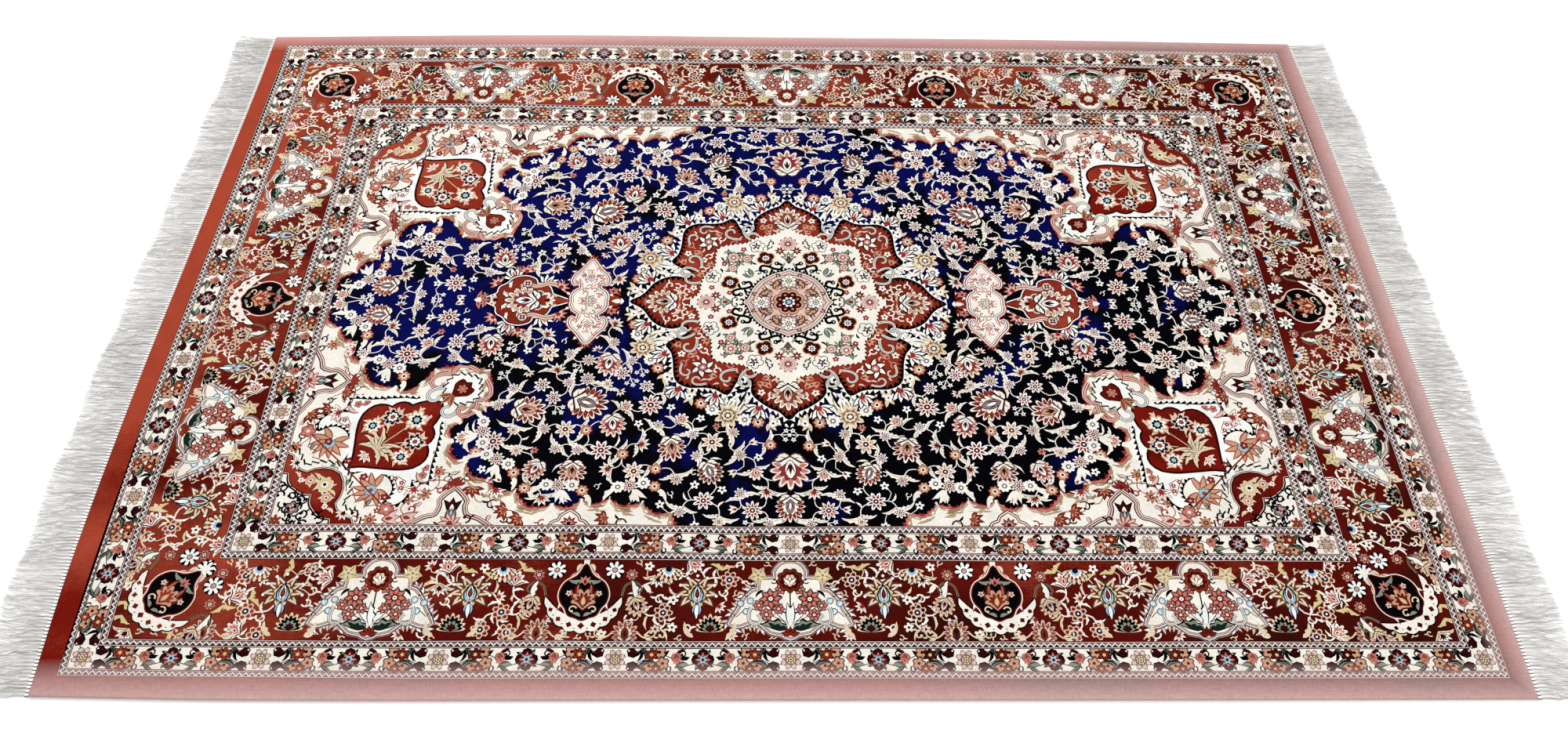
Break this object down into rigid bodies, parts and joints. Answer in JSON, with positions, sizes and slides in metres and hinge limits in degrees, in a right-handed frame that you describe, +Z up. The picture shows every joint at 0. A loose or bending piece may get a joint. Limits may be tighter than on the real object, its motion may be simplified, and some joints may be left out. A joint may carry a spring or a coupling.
{
  "type": "persian rug",
  "caption": "Flat rectangular knotted rug with a floral medallion field, layered borders, a plain outer band and a loose fringe along each short end.",
  "frame": {"origin": "on the underside, in the middle of the rug, at floor height", "axes": "+X along the rug from the left fringe to the right one, +Y across it, +Z up out of the pile"},
  "size_m": [2.1667, 1.3321, 0.0075],
  "materials": {
    "pile": "soft silk pile with a slight sheen",
    "yarn": "matt off-white yarn"
  },
  "bodies": {
    "root": {"rug": "pile", "fringe_left": "yarn", "fringe_right": "yarn"}
  },
  "joints": []
}
